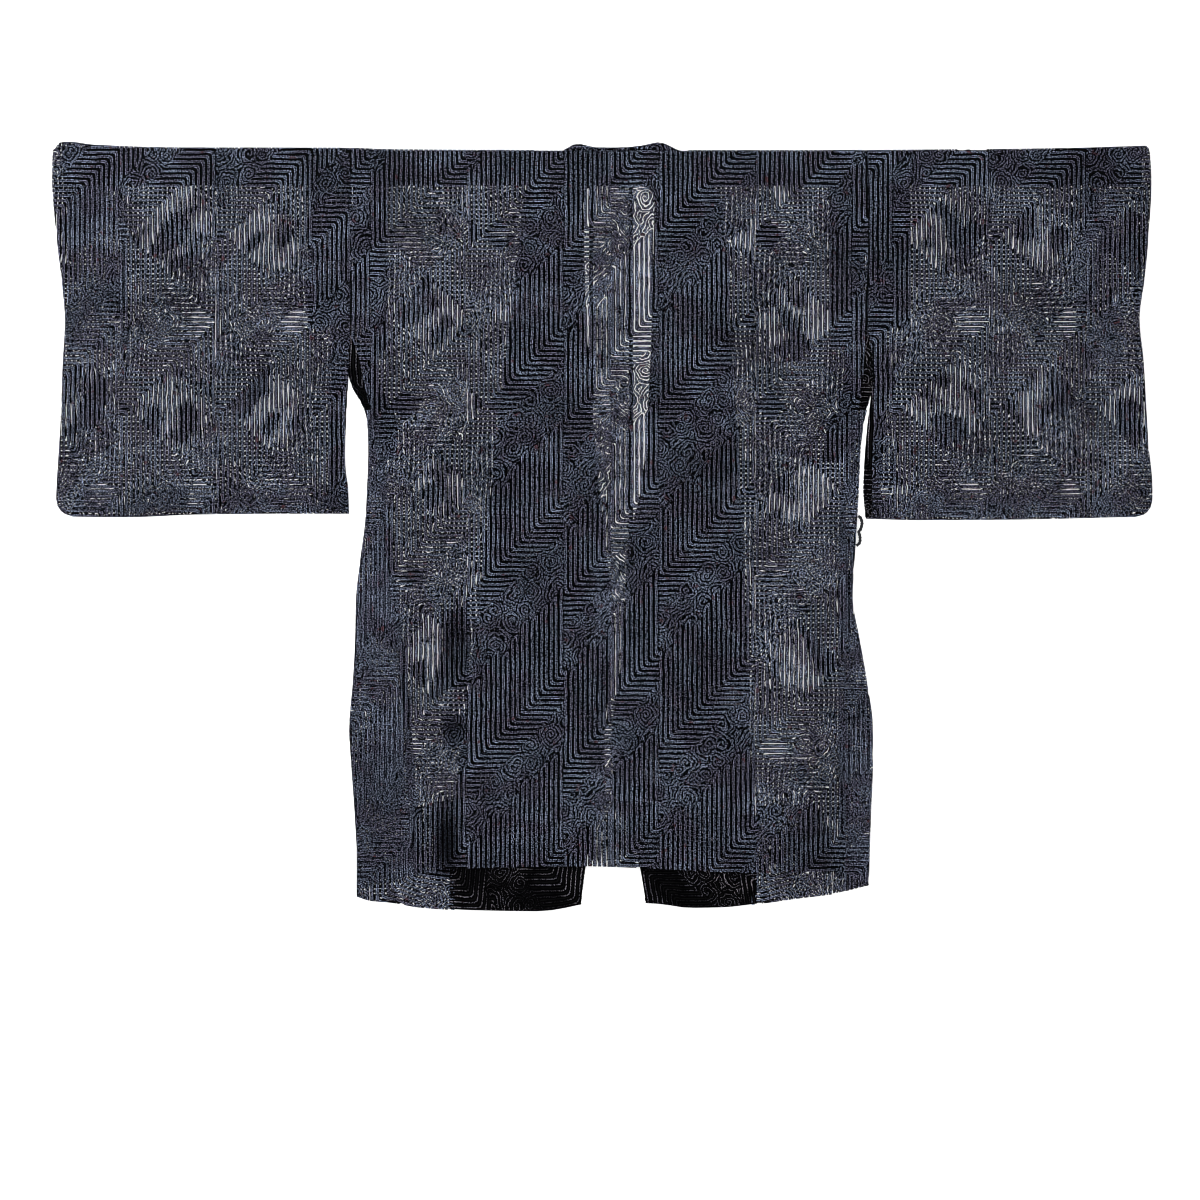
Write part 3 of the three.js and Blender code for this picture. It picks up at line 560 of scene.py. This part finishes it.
def makeSleeve(handName, hand):
    cuff = outward(cuffEdge, handName)
    bottom = lambda x: readTable(sleeveBottom, column[handName], -x)
    top = dropAt(topLine, hand)

    # what a round corner takes off the edge, at a distance from the corner's tip
    def cut(radius, away):
        depth = max(radius - away, 0)
        return radius - math.sqrt(max(radius ** 2 - depth ** 2, 0))

    def left(drop):
        lowerCorner = cut(sleeveCloth["cornerRound"], bottom(-640) - drop)
        return cuff(drop) + lowerCorner + cut(sleeveCloth["topRound"], drop + 5)

    folds = [(f[0], -f[1], -f[2], *f[3:]) for f in sleeveFolds if f[0] == hand]
    between = sleeveCloth["between"]
    shares = evenShares(sleeveCloth["height"], [3, 8, 14, 242, 420, 428, 434, 437])
    across = evenShares(sleeveCloth["width"], [3])

    def row(v, edge, height, way):
        points = []
        for k, u in enumerate(across):
            x, drop = findPlace(u, v, left, edge, top, bottom)
            z = height(x, drop)
            sewn = k == 0 and drop > sleeveCloth["sewnFrom"]
            if sewn or v == 1:
                z = sleeveCloth["seamHeight"]
            points.append((x, drop, z, askew(handName, x, drop) if way > 0 else x, way * drop))
        return points

    frontEdgeHere = outward(sleeveInnerFront, handName)
    backEdgeHere = outward(sleeveInnerBack, handName)
    under = lambda x, drop: coat["lowestMiddle"]
    over = lambda x, drop: coat["layer"] + coat["clothMiddle"] + overStay(drop) + ridges(folds, x, drop)
    front = [row(v, frontEdgeHere, under, 1) for v in shares]
    back = [row(v, backEdgeHere, over, -1) for v in shares]
    back[-1] = [(*p[:3], q[3], q[4]) for p, q in zip(front[-1], back[-1])]
    turn = foldRows(front[0], back[0], 0.9, 0, -1)
    grids = [(0, front[::-1] + turn + back)]

    # an allowance is the same cloth folded back, so its pattern is turned over at the fold
    def allowance(x0, x1, drop0, drop1, foldX=None, foldDrop=None):
        rows = max(2, round((drop1 - drop0) / 12) + 1)
        columns = max(2, round((x1 - x0) / 12) + 1)
        made = []
        for j in range(rows):
            drop = mix(drop0, drop1, j / (rows - 1))
            along = drop if foldDrop is None else 2 * foldDrop - drop
            xs = [mix(x0, x1, i / (columns - 1)) for i in range(columns)]
            made.append([(x, drop, between, x if foldX is None else 2 * foldX - x, along) for x in xs])
        return made

    seam, hem = backEdgeHere(100), bottom(-480)
    grids.append((0, allowance(-622, seam - 4, hem - sleeveCloth["bottomAllowance"], hem - 3, foldDrop=hem)))
    grids.append((1, allowance(seam - sleeveCloth["armholeAllowance"], seam - 3, 4, 210, foldX=seam)))
    # a plain black edge in the armhole's seam
    grids.append((2, allowance(seam - 3, seam + 2.7, 4, 210, foldX=seam)))
    # the hem of the open inner edge, black from the inside
    openHem = []
    for k in range(32):
        drop = mix(211, bottom(-330) - 2, k / 31)
        edgeX = frontEdgeHere(drop) - 0.6
        xs = [edgeX - sleeveCloth["openHem"] * n / 4 for n in range(4, -1, -1)]
        openHem.append([(x, drop, between, *halfPitch(askew(handName, x, drop), drop)) for x in xs])
    grids.append((1, openHem))
    grids.append((0, allowance(*sleeveCloth["cuffHem"][handName], foldX=cuff(200))))
    piece = buildSheet(f"clothSleeve_{handName}", grids, hand, turned=True)
    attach(piece, "root")
    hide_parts(f"sleeve_{handName}")
    return piece


bodyCloth = {
    "height": 860,
    # how far the pattern is moved along the cloth, and across it
    "patternDrop": {"left": 120, "right": 97}, "patternShift": 56,
    "seamAllowance": 26, "selvedge": 5, "armholeAllowance": 44,
    "slitHem": 34,
    "slitClosedTo": {"left": 268, "right": 292},
    "turnedFront": 0.15,     # how far the front's turned hem lies below the next layer's middle
    "turnedBack": 1.1,       # how far the back's lies below the back
}


def makeBody(handName, hand):
    inner = coat["centreSeam"] * -hand
    neck = outward(collarSeam, handName)
    outer = outward(sideOutline, handName)
    edge = outward(frontEdge, handName)
    backOuter = outward(backSide, handName)
    top, hemFront, hemBack = dropAt(topLine, hand), dropAt(frontHem, hand), dropAt(backHem, hand)
    ply, middle, lowest = coat["layer"], coat["clothMiddle"], coat["lowestMiddle"]

    # the front reaches some way under the collar
    def underCollar(drop):
        return neck(drop) + min(60, 0.7 * (edge(drop) - neck(drop))) * smooth(4, 60, drop)

    def frontOuter(drop):
        begun = smooth(coat["slit"] - 2, coat["slit"], drop)
        under = readTable(gussetUnder, column[handName], drop) * begun
        return outer(drop) + under + (0.3 if under > 0 else 0)

    # the height of what the back lies on: front, collar, gusset, turned hem and stay
    def backUnder(x, drop):
        seam = -neck(drop)
        collarLift = 1 - smooth(seam + 40, seam + 80, -x)
        gussetSeam = -backOuter(drop)
        gussetLift = smooth(gussetSeam - 74, gussetSeam - 28, -x) * smooth(237, 287, drop)
        hemLift = smooth(coat["length"] - 220, coat["length"] - 150, drop)
        layers = 1 + collarLift + gussetLift * (1 - hemLift) + 2 * hemLift
        return ply * layers + overStay(drop) + ridges(backFolds, x * -hand, drop)

    offset = bodyCloth["patternDrop"][handName]
    seamX = inner - bodyCloth["patternShift"]
    frontWidth, backWidth = neck(0) - outer(0), inner - outer(0)
    share = frontWidth / backWidth
    frontShares = evenShares(frontWidth, [3])
    restShares = [mix(share, 1, s) for s in evenShares(backWidth - frontWidth)]
    rows = evenShares(bodyCloth["height"], [4, 10, 305, 308])

    def frontPattern(x, drop):
        return askew(handName, x - seamX, drop), offset + drop * 1.02

    def frontPoint(u, v):
        x, drop = findPlace(u, v, frontOuter, underCollar, top, hemFront)
        lift = smooth(0, 8, x - neck(drop)) * smooth(20, 60, drop)
        return x, drop, mix(lowest, 1.2, lift), *frontPattern(x, drop)

    def backPoint(u, v):
        x, drop = findPlace(u, v, backOuter, lambda _: inner, top, hemBack)
        return x, drop, backUnder(x, drop) + middle, x - seamX, offset - drop

    front = [[frontPoint(u, v) for u in frontShares] for v in rows]
    back = [[backPoint(u * share, v) for u in frontShares] for v in rows]
    rest = [[backPoint(u, v) for u in restShares] for v in rows]

    def turned(hemRow, height, way):
        made = []
        for n in range(11):
            rise = coat["hemTurn"] * n / 10
            made.append([(x, drop - rise, height(x, drop - rise), across, along + way * rise)
                         for x, drop, _, across, along in hemRow])
        return made

    backTurnHeight = lambda x, drop: backUnder(x, drop) + middle - bodyCloth["turnedBack"]
    frontTurn = turned(front[-1], lambda x, drop: ply + middle - bodyCloth["turnedFront"], 1)
    backTurn = turned(back[-1], backTurnHeight, -1)
    restTurn = turned(rest[-1], backTurnHeight, -1)
    shoulder = foldRows(front[0], back[0], 1.0, 0, -1)
    strip = front[::-1] + shoulder + back + foldRows(back[-1], backTurn[0], 0.6, 0, 1) + backTurn
    restStrip = rest + foldRows(rest[-1], restTurn[0], 0.6, 0, 1) + restTurn
    turnStrip = frontTurn[::-1] + foldRows(frontTurn[0], front[-1], 0.8, 0, 1) + [front[-1]]
    # the front's turned hem ends where the collar begins
    keep = sum(1 for p in front[-1] if p[0] < neck(890) + 8)
    grids = [(0, strip), (0, restStrip), (0, [row[:keep] for row in turnStrip])]

    # the middle seam's allowances, whose cords lie nearly below those of the back
    seamDrops = [mix(6, 838, k / 80) for k in range(81)]
    wide, bar = bodyCloth["seamAllowance"], bodyCloth["selvedge"]
    besideSeam = lambda x, drop: backUnder(x, drop) + 0.05 - 0.1 * hand

    def besideSeamCloth(x0, x1):
        count = max(1, round((x1 - x0) / 6))
        xs = [mix(x0, x1, i / count) for i in range(count + 1)]
        return [[(x, drop, besideSeam(x, drop), x - seamX + 0.8, offset - drop + 0.8) for x in xs]
                for drop in seamDrops]

    grids.append((0, besideSeamCloth(inner - wide + bar, inner + 1)))
    grids.append((2, besideSeamCloth(inner - wide, inner - wide + bar)))
    # the armhole's allowance, its pattern turned over at the fold
    side = outer(100)
    armXs = [mix(side + 3.2, side + bodyCloth["armholeAllowance"], k / 7) for k in range(8)]
    armDrops = [mix(8, 236, k / 20) for k in range(21)]
    grids.append((1, [[(x, drop, 0.95, 2 * side - x - seamX, offset + drop) for x in armXs]
                      for drop in armDrops]))
    # the front's hemmed edge below the armhole, black from the inside
    closed = bodyCloth["slitClosedTo"][handName]

    def slitRow(drop, edgeX):
        xs = [edgeX + bodyCloth["slitHem"] * n / 6 for n in range(7)]
        return [(x, drop, 1.0, *halfPitch(*frontPattern(x, drop))) for x in xs]

    def slitEdge(drop):
        return outer(drop) + mix(-2, 0.8, smooth(closed - 6, closed + 4, drop))

    besideSlit = [mix(206, 308, k / 20) for k in range(21)]
    belowSlit = (310, 320, 330, 340, 353, 366)
    grids.append((1, [slitRow(drop, slitEdge(drop)) for drop in besideSlit]))
    grids.append((1, [slitRow(drop, frontOuter(drop) + 0.3) for drop in belowSlit]))
    # where the front's cloth is doubled below the back's troughs, a dark layer put there to deepen their
    # painted shade
    for x, drop, halfWidth, halfHeight, _ in troughShade:
        if (x < 0) == (hand < 0):
            columns = [x * -hand + halfWidth * (n / 3 - 1) for n in range(7)]
            doubled = [[(across, down, 1.2, *halfPitch(*frontPattern(across, down))) for across in columns]
                       for down in (drop + halfHeight * (k / 5 - 1) for k in range(11))]
            grids.append((1, doubled))
    piece = buildSheet(f"clothBody_{handName}", grids, hand)
    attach(piece, "root")
    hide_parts(f"body_{handName}")
    return piece


gussetCloth = {
    "height": 560,
    # its drop at the seam and at the coat's side
    "hem": {"left": (858, 877), "right": (852, 868)},
    "area": {"left": 0.056, "right": 0.062},
    "seamReach": 8,          # how far it reaches under the back
    "columns": 9, "underColumns": 5,
    "plyGap": 0.58,          # between the middles of its two plies
    "turnedFrom": 0.9,       # the share of its length from which it is hemmed
}


def makeGusset(handName, hand):
    outer, seam = outward(sideOutline, handName), outward(backSide, handName)
    seamHem, sideHem = gussetCloth["hem"][handName]
    rounds = hand > 0        # only the right gusset is turned round the coat's edge
    ply, middle, lowest = coat["layer"], coat["clothMiddle"], coat["lowestMiddle"]

    def bottom(x):
        u = (x - outer(860)) / (seam(860) - outer(860))
        return mix(sideHem, seamHem, min(max(u, 0), 1.2)) - (0 if rounds else 4)

    def top(_):
        return coat["slit"]

    def height(x, drop):
        return ply + middle + (0 if rounds else ply * smooth(740, 785, drop))

    side = lambda drop: outer(drop) + 0.4
    inward = lambda drop: seam(drop) + gussetCloth["seamReach"]
    rows = evenShares(gussetCloth["height"], [3])
    count, underCount = gussetCloth["columns"], gussetCloth["underColumns"]

    def upperPoint(k, v):
        x, drop = findPlace(k / count, v, side, inward, top, bottom)
        return x, drop, height(x, drop), x, -drop

    upper = [[upperPoint(k, v) for k in range(count + 1)] for v in rows]
    # the gusset is doubled, with another place of the pattern below
    inside = [[(x, drop, z - gussetCloth["plyGap"], across + 9, along + 60)
               for x, drop, z, across, along in row] for row in upper]
    grids = [(0, upper), (0, inside)]
    if rounds:
        under = lambda drop: outer(drop) + readTable(gussetUnder, column[handName], drop)
        hem = dropAt(frontHem, hand)

        def lowerPoint(k, v):
            x, drop = findPlace(k / underCount, v, side, under, top, hem)
            return x, drop, lowest, 2 * outer(drop) - x, -drop

        turnedHem = []
        for k in range(8):
            v = mix(gussetCloth["turnedFrom"], 0.998, k / 7)
            row = [lowerPoint(n, v) for n in range(underCount + 1)]
            turnedHem.append([(x, drop, z + 0.6, *halfPitch(u, along)) for x, drop, z, u, along in row])
        grids.append((0, turnedHem))
        # the same cloth, turned round the coat's edge: columns run from below, out and over
        for row, v in zip(upper, rows):
            below = [lowerPoint(k, v) for k in range(underCount, -1, -1)]
            a, b = below[-1], row[0]
            fold = [(a[0] - 0.7, mix(a[1], b[1], 0.5), mix(a[2], b[2], 0.5), a[3], a[4])]
            row[:0] = below + fold
    piece = buildSheet(f"clothGusset_{handName}", grids, hand, turned=True)
    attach(piece, "root")
    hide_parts(f"gusset_{handName}")
    return piece


collarCloth = {
    "legFrom": 64, "legTo": 891, "step": 12,
    "neckSteps": 32,
    "returned": (8, 24),     # between these steps the band goes back over the shoulder line
    "returnTo": 5,
    "fullWidth": 150, "leastFlap": 8, "mostFlapShare": 0.84, "turnedIn": 12,
}


def makeCollar():
    legFrom, legTo = collarCloth["legFrom"], collarCloth["legTo"]

    # a station is the place of the band's seam and that of its fold
    def legs(handName, hand):
        made = []
        count = round((legTo - legFrom) / collarCloth["step"])
        for k in range(count + 1):
            drop = mix(legFrom, legTo, k / count)
            seam = readTable(collarSeam, column[handName], drop) * hand
            fold = readTable(frontEdge, column[handName], drop) * hand
            made.append([seam, drop, fold, drop])
        return made

    leftLeg = legs("left", -1)[::-1]
    steps, last = collarCloth["neckSteps"], neckTurn[-1][0]
    neck = [[readTable(neckTurn, value, last * k / steps) for value in (1, 2, 3, 4)]
            for k in range(steps + 1)]
    stations = leftLeg + neck + legs("right", 1)
    firstReturn, lastReturn = [len(leftLeg) + k for k in collarCloth["returned"]]
    ply, middle, lowest = coat["layer"], coat["clothMiddle"], coat["lowestMiddle"]
    length, along = 0, []
    for before, here in zip([stations[0], *stations], stations):
        centre = [(p[0] + p[2]) / 2 for p in (before, here)] + [(p[1] + p[3]) / 2 for p in (before, here)]
        length += math.hypot(centre[1] - centre[0], centre[3] - centre[2])
        along.append(length)

    def point(s, share, z, n, side):
        whole = math.hypot(s[0] - s[2], s[1] - s[3])
        x, drop = mix(s[2], s[0], share), mix(s[3], s[1], share)
        drop += (readTable(frontHem, 1, x) - legTo) * smooth(850, legTo, drop)
        return x, drop, z, side * share * whole, along[n]

    def flapShare(s):
        whole = math.hypot(s[0] - s[2], s[1] - s[3])
        flap = min(max(collarCloth["fullWidth"] - whole, collarCloth["leastFlap"]), whole)
        return min(flap / whole, collarCloth["mostFlapShare"])

    # rows run from the flap's edge to the fold, and on from the fold to the seam
    flap = [[point(s, flapShare(s) * (1 - k / 6), lowest, n, -1) for n, s in enumerate(stations)]
            for k in range(6)]
    flap.append([point(s, 0.006, lowest, n, -1) for n, s in enumerate(stations)])
    base = [[point(s, 0.006, ply + middle, n, 1) for n, s in enumerate(stations)]]
    base += [[point(s, k / 9, ply + middle, n, 1) for n, s in enumerate(stations)] for k in range(1, 10)]
    middleRow = [point(s, -0.004, (ply + middle + lowest) / 2, n, 0) for n, s in enumerate(stations)]
    # behind the neck the band goes back from its seam, over the shoulder line
    neckSeam = base[-1][firstReturn:lastReturn + 1]
    back = []
    for t in (0.02, 0.35, 0.7, 1):
        row = [(x, mix(drop, collarCloth["returnTo"], t), length) for x, drop, _, _, length in neckSeam]
        back.append([(x, drop, 2 * ply + middle, -drop, length) for x, drop, length in row])
    ridge = [(x, drop - 0.5, z + ply / 2, across, length) for x, drop, z, across, length in neckSeam]
    grids = [(0, flap + [middleRow]), (1, [middleRow] + base)]
    grids = [(slotIndex, [row[::-1] for row in grid]) for slotIndex, grid in grids]
    grids.append((0, [neckSeam, ridge] + back))
    # the band's ends are turned in
    between = (lowest + ply + middle) / 2
    for n in (0, len(stations) - 1):
        edge = [point(stations[n], mix(0.03, 0.97, k / 9), between, n, 1) for k in range(10)]
        turnedIn = [[(x, drop - rise, z, *halfPitch(u, v)) for x, drop, z, u, v in edge]
                    for rise in (1, 6, collarCloth["turnedIn"])]
        grids.append((1, turnedIn))
    piece = buildSheet("clothCollar", grids, -1)
    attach(piece, "root")
    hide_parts("collar")
    return piece


stayCloth = {
    "reach": 636, "lowerEdge": 42.5, "columns": 180, "rows": 6,
    "overCollar": (-96, 146),     # where the collar lies below
    "slope": 24,                  # how gently the stay climbs it
}


def makeStay():
    start, end = stayCloth["overCollar"]
    slope, reach, columns = stayCloth["slope"], stayCloth["reach"], stayCloth["columns"]
    rows = []
    for k in range(stayCloth["rows"] + 1):
        row = []
        for n in range(columns + 1):
            x = mix(-reach, reach, n / columns)
            upperEdge = max(readTable(topLine, 1, x), -2.5) + 0.4
            drop = mix(upperEdge, stayCloth["lowerEdge"], k / stayCloth["rows"])
            lift = 1 + smooth(start - slope, start, x) * (1 - smooth(end, end + slope, x))
            row.append((x, drop, coat["layer"] * lift + coat["clothMiddle"], x, -drop))
        rows.append(row)
    piece = buildSheet("clothStay", [(2, rows)], -1)
    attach(piece, "root")
    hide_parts("shoulder_stay")
    return piece


# a small loop of two black strands twisted together, sewn in at the side
loopCord = {
    "radius": 2, "strand": 1.4, "pitch": 7, "steps": 110, "sides": 10,
    "path": [(-1.2, 432), (1.6, 434), (3.8, 440), (2.8, 447), (0.8, 451), (2.4, 456), (2.6, 463),
             (-0.9, 467)],
}


def makeLoop():
    radius = loopCord["radius"]
    path = [(readTable(sideOutline, 2, drop) + out + radius + 0.3, drop) for out, drop in loopCord["path"]]

    def at(t):
        k = min(int(t), len(path) - 2)
        f = t - k
        p = [path[max(k - 1, 0)], path[k], path[k + 1], path[min(k + 2, len(path) - 1)]]
        return [0.5 * (2 * p[1][c] + (p[2][c] - p[0][c]) * f
                       + (2 * p[0][c] - 5 * p[1][c] + 4 * p[2][c] - p[3][c]) * f ** 2
                       + (3 * p[1][c] - p[0][c] - 3 * p[2][c] + p[3][c]) * f ** 3) for c in (0, 1)]

    points, faces, travelled = [], [], 0
    steps, sides = loopCord["steps"], loopCord["sides"]
    lay = radius - loopCord["strand"]
    centres = [at((len(path) - 1) * n / steps) for n in range(steps + 1)]
    for strand in (0, math.pi):
        first = len(points)
        travelled = 0
        for n, (x, drop) in enumerate(centres):
            a, b = centres[max(n - 1, 0)], centres[min(n + 1, steps)]
            span = math.hypot(b[0] - a[0], b[1] - a[1])
            sideways = ((b[1] - a[1]) / span, -(b[0] - a[0]) / span)
            if n:
                travelled += math.hypot(x - centres[n - 1][0], drop - centres[n - 1][1])
            twist = 2 * math.pi * travelled / loopCord["pitch"] + strand
            for s in range(sides):
                angle = 2 * math.pi * s / sides
                level = lay * math.cos(twist) + loopCord["strand"] * math.cos(angle)
                rise = lay * math.sin(twist) + loopCord["strand"] * math.sin(angle)
                across, down = x + sideways[0] * level, drop + sideways[1] * level
                points.append((across * mm, (coat["shoulderY"] - down) * mm, (radius + 0.3 + rise) * mm))
        for n in range(steps):
            for s in range(sides):
                a, b = first + n * sides + s, first + n * sides + (s + 1) % sides
                faces.append((a, b, b + sides, a + sides))
        faces.append(tuple(first + s for s in range(sides))[::-1])
        faces.append(tuple(first + steps * sides + s for s in range(sides)))
    mesh = bpy.data.meshes.new("twistedLoop")
    mesh.from_pydata(points, [], faces)
    piece = bpy.data.objects.new("twistedLoop", mesh)
    bpy.context.collection.objects.link(piece)
    bpy.ops.object.select_all(action="DESELECT")
    piece.select_set(True)
    bpy.context.view_layer.objects.active = piece
    bpy.ops.object.mode_set(mode="EDIT")
    bpy.ops.mesh.select_all(action="SELECT")
    bpy.ops.mesh.normals_make_consistent(inside=False)
    bpy.ops.object.mode_set(mode="OBJECT")
    bpy.ops.object.shade_smooth_by_angle(angle=math.radians(60))
    material = bpy.data.materials.new("blackLoopCord")
    material.use_nodes = True
    tree = material.node_tree
    shader = tree.nodes["Principled BSDF"]
    place = addNode(tree, "ShaderNodeTexCoord").outputs["Object"]
    fibres = addNode(tree, "ShaderNodeTexNoise", None, {"Vector": place, "Scale": 1800, "Detail": 3})
    tree.links.new(mixColours(tree, fibres.outputs[0], colour(5, 5, 8), colour(34, 36, 46)),
                   shader.inputs["Base Color"])
    bump = addNode(tree, "ShaderNodeBump", None,
                   {"Height": fibres.outputs[0], "Strength": 0.6, "Distance": 0.0002})
    tree.links.new(bump.outputs[0], shader.inputs["Normal"])
    shader.inputs["Roughness"].default_value = 0.6
    mesh.materials.append(material)
    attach(piece, "root")
    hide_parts("side_loop")
    return piece


for handName, hand in hands:
    makeBody(handName, hand)
    makeSleeve(handName, hand)
    makeGusset(handName, hand)
print("body, sleeves and gussets made")
makeCollar()
makeStay()
makeLoop()
print("collar, stay and loop made")

studio = {
    "floorSize": 40, "floorGlow": 0.66, "lens": 85, "sensor": 36,
    "frameWidth": 1.416, "aim": (-0.003, -0.087), "world": 0.4,
    # rows are (name, place, size, power)
    "lights": [("keyLight", (-2.1, 1.2, 1.8), 1.2, 50), ("fillLight", (1.8, -1.2, 2.6), 2.4, 18)],
}


def makeStage():
    bpy.ops.mesh.primitive_plane_add(size=studio["floorSize"], location=(0, 0, 0))
    floor = bpy.context.object
    floor.name = "floor"
    material = bpy.data.materials.new("paleFloor")
    material.use_nodes = True
    tree = material.node_tree
    shader = tree.nodes["Principled BSDF"]
    place = addNode(tree, "ShaderNodeTexCoord").outputs["Object"]
    cloud = addNode(tree, "ShaderNodeTexNoise", None, {"Vector": place, "Scale": 2, "Detail": 2})
    tone = mixColours(tree, cloud.outputs[0], (0.86, 0.86, 0.86, 1), (0.9, 0.9, 0.9, 1))
    tree.links.new(tone, shader.inputs["Base Color"])
    shader.inputs["Roughness"].default_value = 0.9
    shader.inputs["Emission Color"].default_value = (1, 1, 1, 1)
    shader.inputs["Emission Strength"].default_value = studio["floorGlow"]
    floor.data.materials.append(material)


# a round light that shines at the middle of the coat
def addSoftLight(name, place, size, power):
    data = bpy.data.lights.new(name, "AREA")
    data.shape = "DISK"
    data.size = size
    data.energy = power
    light = bpy.data.objects.new(name, data)
    bpy.context.collection.objects.link(light)
    light.location = place
    direction = [-value for value in place]
    flat = math.hypot(direction[0], direction[1])
    heading = math.atan2(direction[1], direction[0]) - math.pi / 2
    light.rotation_euler = (math.atan2(flat, -direction[2]), 0, heading)


makeStage()
for name, place, size, power in studio["lights"]:
    addSoftLight(name, place, size, power)

world = bpy.data.worlds.new("softRoom")
bpy.context.scene.world = world
world.use_nodes = True
world.node_tree.nodes["Background"].inputs[0].default_value = (1, 1, 1, 1)
world.node_tree.nodes["Background"].inputs[1].default_value = studio["world"]

camera = bpy.data.objects.new("camera", bpy.data.cameras.new("camera"))
bpy.context.collection.objects.link(camera)
camera.data.lens = studio["lens"]
camera.data.sensor_width = studio["sensor"]
distance = studio["frameWidth"] * studio["lens"] / studio["sensor"]
camera.location = (*studio["aim"], distance)
camera.rotation_euler = (0, 0, 0)
bpy.context.scene.camera = camera

scene = bpy.context.scene
scene.view_settings.view_transform = "Standard"
scene.cycles.transparent_max_bounces = 28
scene.cycles.filter_width = 1.0

print("stage, lights and camera set")
